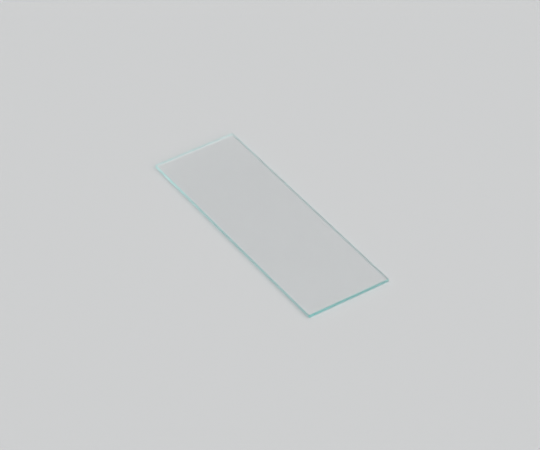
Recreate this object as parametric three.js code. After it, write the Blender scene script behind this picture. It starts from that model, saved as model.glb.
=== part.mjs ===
// Plain microscope slide: one plate of clear soda-lime float glass.
// Millimetres, +Z up. The origin is the centre of the underside, so the slide
// lies flat on z = 0 with its long side along X and its short side along Y.
import * as THREE from "three";

// Driving dimensions
const LENGTH = 76.0; // long side, X
const WIDTH = 26.0; // short side, Y
const THICKNESS = 1.0; // between the two polished faces, Z
const CORNER_RADIUS = 0.25; // each corner in plan, rubbed round when the edges are ground
const CORNER_SEGMENTS = 6; // flats round each corner
const ARRIS = 0.12; // width and height of the 45 degree seam ground along every top and bottom edge

// Glass colour: nearly colourless, with the faint green of iron in float glass
const GLASS_COLOUR = 0xdcebea;

// Plan outline at mid-thickness, counter-clockwise from above
function slideOutline(length, width, radius) {
  const x = length / 2;
  const y = width / 2;
  const outline = new THREE.Shape();
  outline.moveTo(-x + radius, -y);
  outline.lineTo(x - radius, -y);
  outline.absarc(x - radius, -y + radius, radius, -Math.PI / 2, 0, false);
  outline.lineTo(x, y - radius);
  outline.absarc(x - radius, y - radius, radius, 0, Math.PI / 2, false);
  outline.lineTo(-x + radius, y);
  outline.absarc(-x + radius, y - radius, radius, Math.PI / 2, Math.PI, false);
  outline.lineTo(-x, -y + radius);
  outline.absarc(-x + radius, -y + radius, radius, Math.PI, 1.5 * Math.PI, false);
  outline.closePath();
  return outline;
}

// The edge's section: a flat ground wall with a straight seam above and below.
// The wall stands on the outline, and the seams step in from it by ARRIS.
function slideGeometry() {
  const geometry = new THREE.ExtrudeGeometry(
    slideOutline(LENGTH, WIDTH, CORNER_RADIUS),
    {
      depth: THICKNESS - 2 * ARRIS,
      steps: 1,
      curveSegments: CORNER_SEGMENTS,
      bevelEnabled: true,
      bevelThickness: ARRIS,
      bevelSize: ARRIS,
      bevelOffset: -ARRIS,
      bevelSegments: 1,
    },
  );
  geometry.translate(0, 0, ARRIS);
  return geometry;
}

const glass = new THREE.MeshStandardMaterial({
  color: GLASS_COLOUR,
  roughness: 0.03,
  metalness: 0.0,
  transparent: true,
  opacity: 0.35,
});

const slide = new THREE.Mesh(slideGeometry(), glass);
slide.name = "glass_slide";

const object = new THREE.Group();
object.add(slide);

export default object;
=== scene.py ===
import math

import bmesh
import bpy
import numpy as np
from mathutils import Matrix, Vector
from mathutils.geometry import delaunay_2d_cdt


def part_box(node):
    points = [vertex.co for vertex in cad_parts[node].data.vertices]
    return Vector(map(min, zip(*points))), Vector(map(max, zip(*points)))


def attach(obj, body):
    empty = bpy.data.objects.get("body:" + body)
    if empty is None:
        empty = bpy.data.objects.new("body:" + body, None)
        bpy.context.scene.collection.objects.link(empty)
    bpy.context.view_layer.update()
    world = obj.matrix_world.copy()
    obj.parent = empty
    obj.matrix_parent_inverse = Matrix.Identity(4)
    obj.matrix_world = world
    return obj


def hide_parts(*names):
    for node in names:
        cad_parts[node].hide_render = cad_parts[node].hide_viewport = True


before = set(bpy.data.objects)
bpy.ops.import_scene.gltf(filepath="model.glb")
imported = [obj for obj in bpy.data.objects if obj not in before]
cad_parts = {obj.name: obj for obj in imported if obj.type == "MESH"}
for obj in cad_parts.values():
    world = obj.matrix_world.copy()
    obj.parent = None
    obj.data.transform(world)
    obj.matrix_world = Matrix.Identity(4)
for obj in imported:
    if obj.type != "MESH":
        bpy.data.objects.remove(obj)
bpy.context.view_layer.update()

LOW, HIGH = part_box("glass_slide")
MM = 0.001

# ------------------------------------------------------------------ the slide's ground edge
HALF_X = (HIGH.x - LOW.x) / 2
HALF_Y = (HIGH.y - LOW.y) / 2
MID_X = (HIGH.x + LOW.x) / 2
MID_Y = (HIGH.y + LOW.y) / 2
THICK = HIGH.z - LOW.z
CORNER_R = 0.25 * MM
ARRIS = 0.12 * MM      # the 45 degree seam
STEP = 0.12 * MM       # spacing of the points along the straight edges
CORNER_STEPS = 10


def outline():
    """Points round the slide at mid-thickness, counter-clockwise, with outward normals and the distance walked."""
    pts, nrm = [], []
    r = CORNER_R
    ax, ay = HALF_X - r, HALF_Y - r
    nx, ny = round(2 * ax / STEP), round(2 * ay / STEP)
    sides = [
        ((-ax, -HALF_Y), (ax, -HALF_Y), (0, -1), nx, (ax, -ay), -90),
        ((HALF_X, -ay), (HALF_X, ay), (1, 0), ny, (ax, ay), 0),
        ((ax, HALF_Y), (-ax, HALF_Y), (0, 1), nx, (-ax, ay), 90),
        ((-HALF_X, ay), (-HALF_X, -ay), (-1, 0), ny, (-ax, -ay), 180),
    ]
    for a, b, n, count, centre, start in sides:
        for i in range(count + 1):
            t = i / count
            pts.append((a[0] + (b[0] - a[0]) * t, a[1] + (b[1] - a[1]) * t))
            nrm.append(n)
        for i in range(1, CORNER_STEPS):
            w = math.radians(start + 90 * i / CORNER_STEPS)
            pts.append((centre[0] + r * math.cos(w), centre[1] + r * math.sin(w)))
            nrm.append((math.cos(w), math.sin(w)))
    pts, nrm = np.array(pts), np.array(nrm, float)
    gaps = np.linalg.norm(np.roll(pts, -1, 0) - pts, axis=1)
    walked = np.concatenate([[0], np.cumsum(gaps)[:-1]])
    return pts, nrm, walked, float(gaps.sum())


def wander(rng, walked, total, wavelength, size):
    """A smooth closed random curve along the edge."""
    knots = max(int(total / wavelength), 4)
    values = rng.normal(0, 1, knots)
    at = walked / total * knots
    i = np.floor(at).astype(int) % knots
    f = at - np.floor(at)
    f = f * f * (3 - 2 * f)
    return size * (values[i] * (1 - f) + values[(i + 1) % knots] * f)


def nicks(rng, walked, total, count, widest, deepest):
    """Small shell-shaped nicks that the wheel leaves along a seam."""
    out = np.zeros(len(walked))
    for _ in range(count):
        at, half = rng.uniform(0, total), rng.uniform(0.3, 1.0) * widest / 2
        deep = deepest * rng.uniform(0.3, 1.0) * (half * 2 / widest)
        d = np.abs((walked - at + total / 2) % total - total / 2) / half
        out = np.maximum(out, deep * np.sqrt(np.clip(1 - d * d, 0, None)))
    return out


def build_slide():
    pts, nrm, walked, total = outline()
    n = len(pts)
    rng = np.random.default_rng(7)
    seam = {}
    for side in ("top", "bottom"):
        seam[side] = (
            ARRIS
            + wander(rng, walked, total, 11 * MM, 0.005 * MM)
            + wander(rng, walked, total, 1.3 * MM, 0.003 * MM)
            + nicks(rng, walked, total, 46, 0.34 * MM, 0.03 * MM)
        ).clip(0.10 * MM, 0.16 * MM)
    # How far the wheel has cut the wall back from the true outline, and where the wall starts.
    dip = np.abs(wander(rng, walked, total, 16 * MM, 0.002 * MM)).clip(0, 0.005 * MM)
    rings = []  # (inset, z), from the top face's rim down to the bottom face's rim
    top, bottom = seam["top"], seam["bottom"]
    round_over = 0.022 * MM

    def ring(inset, z):
        p = pts - nrm * np.asarray(inset)[:, None]
        rings.append(np.column_stack([p[:, 0] + MID_X, p[:, 1] + MID_Y, np.broadcast_to(z, n)]))

    wall = 0.004 * MM + dip
    ring(top, np.full(n, HIGH.z))
    ring(top - 0.3 * (top - wall), HIGH.z - 0.27 * (top - wall))
    ring(wall + round_over, HIGH.z - (top - wall) + round_over * 0.9)
    ring(wall + round_over * 0.28, HIGH.z - (top - wall) - round_over * 0.28)
    ring(wall, HIGH.z - (top - wall) - round_over)
    for share in (0.25, 0.5, 0.75):
        z0, z1 = HIGH.z - top, LOW.z + bottom
        ring(wall * (1 - 0.5 * math.sin(math.pi * share)), z0 + (z1 - z0) * share)
    ring(wall, LOW.z + (bottom - wall) + round_over)
    ring(wall + round_over * 0.28, LOW.z + (bottom - wall) + round_over * 0.28)
    ring(wall + round_over, LOW.z + (bottom - wall) - round_over * 0.9)
    ring(bottom - 0.3 * (bottom - wall), LOW.z + 0.27 * (bottom - wall))
    ring(bottom, np.full(n, LOW.z))

    verts = [tuple(v) for r in rings for v in r]
    faces, ground = [], []
    for k in range(len(rings) - 1):
        for i in range(n):
            j = (i + 1) % n
            faces.append((k * n + i, (k + 1) * n + i, (k + 1) * n + j, k * n + j))
            ground.append(1.0)

    # The two polished faces: even triangles that meet every point of the rim.
    cell = 2.0 * MM
    for rim, z, up in ((0, HIGH.z, True), (len(rings) - 1, LOW.z, False)):
        loop = [Vector((float(v[0]), float(v[1]))) for v in rings[rim]]
        inner = []
        gx, gy = HALF_X - 1.2 * MM, HALF_Y - 1.2 * MM
        for a in np.linspace(-gx, gx, round(2 * gx / cell) + 1):
            for b in np.linspace(-gy, gy, round(2 * gy / cell) + 1):
                inner.append(Vector((float(a) + MID_X, float(b) + MID_Y)))
        co, _, tris, orig, _, _ = delaunay_2d_cdt(
            loop + inner, [(i, (i + 1) % n) for i in range(n)], [], 1, 1e-9
        )
        index = []
        for i, c in enumerate(co):
            first = orig[i][0] if orig[i] else -1
            if 0 <= first < n:
                index.append(rim * n + first)
            else:
                index.append(len(verts))
                verts.append((c.x, c.y, z))
        for t in tris:
            t = [index[i] for i in t]
            a, b, c = (Vector(verts[i]) for i in t)
            if ((b - a).cross(c - a).z > 0) != up:
                t.reverse()
            faces.append(tuple(t))
            ground.append(0.0)

    mesh = bpy.data.meshes.new("slide_glass")
    mesh.from_pydata(verts, [], faces)
    mesh.update()
    mark = mesh.attributes.new("ground_edge", "FLOAT", "FACE")
    mark.data.foreach_set("value", np.array(ground, np.float32))
    # Distance walked round the edge, in metres, kept on the mesh as a point attribute.
    along = mesh.attributes.new("edge_run", "FLOAT", "POINT")
    run = np.zeros(len(verts), np.float32)
    for k in range(len(rings)):
        run[k * n:(k + 1) * n] = walked
    along.data.foreach_set("value", run)
    ob = bpy.data.objects.new("slide_glass", mesh)
    bpy.context.scene.collection.objects.link(ob)
    bm = bmesh.new()
    bm.from_mesh(mesh)
    bmesh.ops.recalc_face_normals(bm, faces=bm.faces)
    for f in bm.faces:
        f.smooth = True
    for e in bm.edges:
        e.smooth = e.calc_face_angle(0) < math.radians(28)
    bm.to_mesh(mesh)
    bm.free()
    return ob


# ------------------------------------------------------------------ the glass
def node(nt, kind, at=(0, 0), **inputs):
    made = nt.nodes.new(kind)
    made.location = at
    for name, value in inputs.items():
        made.inputs[name].default_value = value
    return made


def glass_material():
    mat = bpy.data.materials.new("clear_soda_lime_glass")
    mat.use_nodes = True
    nt = mat.node_tree
    nt.nodes.clear()
    out = node(nt, "ShaderNodeOutputMaterial", (900, 0))
    glass = node(nt, "ShaderNodeBsdfPrincipled", (500, 0))
    glass.inputs["Transmission Weight"].default_value = 1.0
    glass.inputs["IOR"].default_value = 1.52
    nt.links.new(glass.outputs[0], out.inputs["Surface"])

    volume = node(nt, "ShaderNodeVolumeAbsorption", (500, -500))
    volume.inputs["Color"].default_value = (0.0, 0.80, 0.77, 1)
    volume.inputs["Density"].default_value = 9.0
    nt.links.new(volume.outputs[0], out.inputs["Volume"])

    mark = node(nt, "ShaderNodeAttribute", (-900, 0))
    mark.attribute_name = "ground_edge"
    where = node(nt, "ShaderNodeTexCoord", (-1300, -200))

    # Fine grain of the ground surface, with long streaks along the wheel's path.
    grain = node(nt, "ShaderNodeTexNoise", (-700, -250), Scale=9000.0, Detail=3.0, Roughness=0.6)
    nt.links.new(where.outputs["Object"], grain.inputs["Vector"])
    stretch = node(nt, "ShaderNodeMapping", (-1000, -500))
    stretch.inputs["Scale"].default_value = (260, 260, 16000)
    nt.links.new(where.outputs["Object"], stretch.inputs["Vector"])
    streak = node(nt, "ShaderNodeTexNoise", (-700, -500), Scale=1.0, Detail=2.0, Roughness=0.5)
    nt.links.new(stretch.outputs[0], streak.inputs["Vector"])

    rough = node(nt, "ShaderNodeMapRange", (-400, -250))
    rough.inputs["From Min"].default_value, rough.inputs["From Max"].default_value = 0.3, 0.7
    rough.inputs["To Min"].default_value, rough.inputs["To Max"].default_value = 0.34, 0.50
    nt.links.new(grain.outputs["Fac"], rough.inputs["Value"])
    pick = node(nt, "ShaderNodeMix", (-100, -150))
    pick.data_type = "FLOAT"
    pick.inputs["A"].default_value = 0.0
    nt.links.new(mark.outputs["Fac"], pick.inputs["Factor"])
    nt.links.new(rough.outputs["Result"], pick.inputs["B"])
    nt.links.new(pick.outputs["Result"], glass.inputs["Roughness"])

    colour = node(nt, "ShaderNodeMix", (-100, 150))
    colour.data_type = "RGBA"
    colour.inputs["A"].default_value = (1, 1, 1, 1)
    colour.inputs["B"].default_value = (0.97, 0.985, 0.985, 1)
    nt.links.new(mark.outputs["Fac"], colour.inputs["Factor"])
    nt.links.new(colour.outputs["Result"], glass.inputs["Base Color"])

    height = node(nt, "ShaderNodeMath", (-400, -500))
    height.operation = "ADD"
    nt.links.new(grain.outputs["Fac"], height.inputs[0])
    nt.links.new(streak.outputs["Fac"], height.inputs[1])
    only = node(nt, "ShaderNodeMath", (-200, -500))
    only.operation = "MULTIPLY"
    nt.links.new(height.outputs[0], only.inputs[0])
    nt.links.new(mark.outputs["Fac"], only.inputs[1])
    bump = node(nt, "ShaderNodeBump", (100, -400), Strength=0.25, Distance=0.000004)
    nt.links.new(only.outputs[0], bump.inputs["Height"])
    nt.links.new(bump.outputs["Normal"], glass.inputs["Normal"])
    return mat


slide = build_slide()
slide.data.materials.append(glass_material())
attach(slide, "root")
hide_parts("glass_slide")


# ------------------------------------------------------------------ the floor
def pale_floor():
    mesh = bpy.data.meshes.new("floor")
    size, gap = 60.0, 0.00002
    mesh.from_pydata(
        [(-size, -size, -gap), (size, -size, -gap), (size, size, -gap), (-size, size, -gap)],
        [], [(0, 1, 2, 3)],
    )
    ob = bpy.data.objects.new("floor", mesh)
    bpy.context.scene.collection.objects.link(ob)
    mat = bpy.data.materials.new("pale_floor")
    mat.use_nodes = True
    p = mat.node_tree.nodes["Principled BSDF"]
    p.inputs["Base Color"].default_value = (0.66, 0.67, 0.68, 1)
    p.inputs["Roughness"].default_value = 0.6
    p.inputs["Specular IOR Level"].default_value = 0.0  # matt, so it meets the horizon in one even tone
    mesh.materials.append(mat)
    return ob


pale_floor()

# ------------------------------------------------------------------ light
def compass(azimuth, elevation):
    """A direction from the slide: azimuth 0 is +X and 90 is +Y."""
    a, e = math.radians(azimuth), math.radians(elevation)
    return Vector((math.cos(a) * math.cos(e), math.sin(a) * math.cos(e), math.sin(e)))


# Broad soft lights of the studio: direction, full within this angle, gone beyond this one, brightness, tint.
SOFT_LIGHTS = [
    (compass(15, 51), 8, 100, 1.66, (1.0, 0.995, 0.985)),   # very broad key, high on the right
    (compass(153, 28), 4, 12.5, 3.6, (1.0, 1.0, 1.0)),      # low strip past the far short end
]
ROOM = (0.07, 0.0705, 0.072)
HORIZON = (0.612, 0.620, 0.623)  # the floor's own tone


def studio_world():
    world = bpy.data.worlds.new("studio")
    bpy.context.scene.world = world
    world.use_nodes = True
    nt = world.node_tree
    back = nt.nodes["Background"]
    where = node(nt, "ShaderNodeTexCoord", (-1600, 0))
    way = node(nt, "ShaderNodeVectorMath", (-1400, 0))
    way.operation = "NORMALIZE"
    nt.links.new(where.outputs["Generated"], way.inputs[0])
    apart = node(nt, "ShaderNodeSeparateXYZ", (-1100, 300))
    nt.links.new(way.outputs["Vector"], apart.inputs[0])
    high = node(nt, "ShaderNodeMapRange", (-800, 300))
    high.interpolation_type = "SMOOTHSTEP"
    high.inputs["From Min"].default_value = math.sin(math.radians(2.5))
    high.inputs["From Max"].default_value = math.sin(math.radians(9))
    nt.links.new(apart.outputs["Z"], high.inputs["Value"])
    room = node(nt, "ShaderNodeMix", (-500, 300))
    room.data_type = "RGBA"
    room.inputs["A"].default_value = (*HORIZON, 1)
    room.inputs["B"].default_value = (*ROOM, 1)
    nt.links.new(high.outputs["Result"], room.inputs["Factor"])
    total = room.outputs["Result"]
    for i, (toward, full, gone, bright, tint) in enumerate(SOFT_LIGHTS):
        y = -300 * i
        dot = node(nt, "ShaderNodeVectorMath", (-1100, y))
        dot.operation = "DOT_PRODUCT"
        dot.inputs[1].default_value = toward
        nt.links.new(way.outputs["Vector"], dot.inputs[0])
        angle = node(nt, "ShaderNodeMath", (-900, y))
        angle.operation = "ARCCOSINE"
        angle.use_clamp = False
        nt.links.new(dot.outputs["Value"], angle.inputs[0])
        ramp = node(nt, "ShaderNodeMapRange", (-700, y))
        ramp.interpolation_type = "SMOOTHSTEP"
        ramp.inputs["From Min"].default_value = math.radians(gone)
        ramp.inputs["From Max"].default_value = math.radians(full)
        nt.links.new(angle.outputs[0], ramp.inputs["Value"])
        over = node(nt, "ShaderNodeMath", (-500, y))
        over.operation = "MULTIPLY"
        nt.links.new(ramp.outputs["Result"], over.inputs[0])
        nt.links.new(high.outputs["Result"], over.inputs[1])
        glow = node(nt, "ShaderNodeVectorMath", (-300, y))
        glow.operation = "SCALE"
        glow.inputs[0].default_value = [bright * c for c in tint]
        nt.links.new(over.outputs[0], glow.inputs["Scale"])
        add = node(nt, "ShaderNodeVectorMath", (-100, y))
        add.operation = "ADD"
        nt.links.new(total, add.inputs[0])
        nt.links.new(glow.outputs["Vector"], add.inputs[1])
        total = add.outputs["Vector"]
    nt.links.new(total, back.inputs["Color"])
    back.inputs["Strength"].default_value = 1.0


studio_world()

# ------------------------------------------------------------------ camera
AZIMUTH, ELEVATION, ROLL = 56.108, 40.285, -0.138
DISTANCE, LENS = 0.72694, 177.03
AIM = Vector((1.218 * MM, -0.566 * MM, (LOW.z + HIGH.z) / 2))


def place_camera():
    a, e = math.radians(AZIMUTH), math.radians(ELEVATION)
    back = Vector((math.sin(a) * math.cos(e), -math.cos(a) * math.cos(e), math.sin(e)))
    right = Vector((math.cos(a), math.sin(a), 0))
    up = back.cross(right)
    r = math.radians(ROLL)
    right, up = right * math.cos(r) + up * math.sin(r), up * math.cos(r) - right * math.sin(r)
    data = bpy.data.cameras.new("camera")
    data.lens, data.sensor_width, data.sensor_fit = LENS, 36.0, "HORIZONTAL"
    data.clip_start, data.clip_end = 0.01, 20
    ob = bpy.data.objects.new("camera", data)
    bpy.context.scene.collection.objects.link(ob)
    ob.matrix_world = Matrix.Translation(AIM + back * DISTANCE) @ Matrix((right, up, back)).transposed().to_4x4()
    bpy.context.scene.camera = ob


place_camera()

scene = bpy.context.scene
scene.view_settings.view_transform = "Standard"
cy = scene.cycles
cy.max_bounces, cy.glossy_bounces, cy.transmission_bounces, cy.diffuse_bounces = 128, 128, 64, 4
cy.transparent_max_bounces = 16
cy.min_light_bounces = 128  # light trapped in the plate is followed to its end, which halves the noise
cy.blur_glossy = 0.0
cy.denoising_input_passes = "RGB"  # keeps the thin rims straight
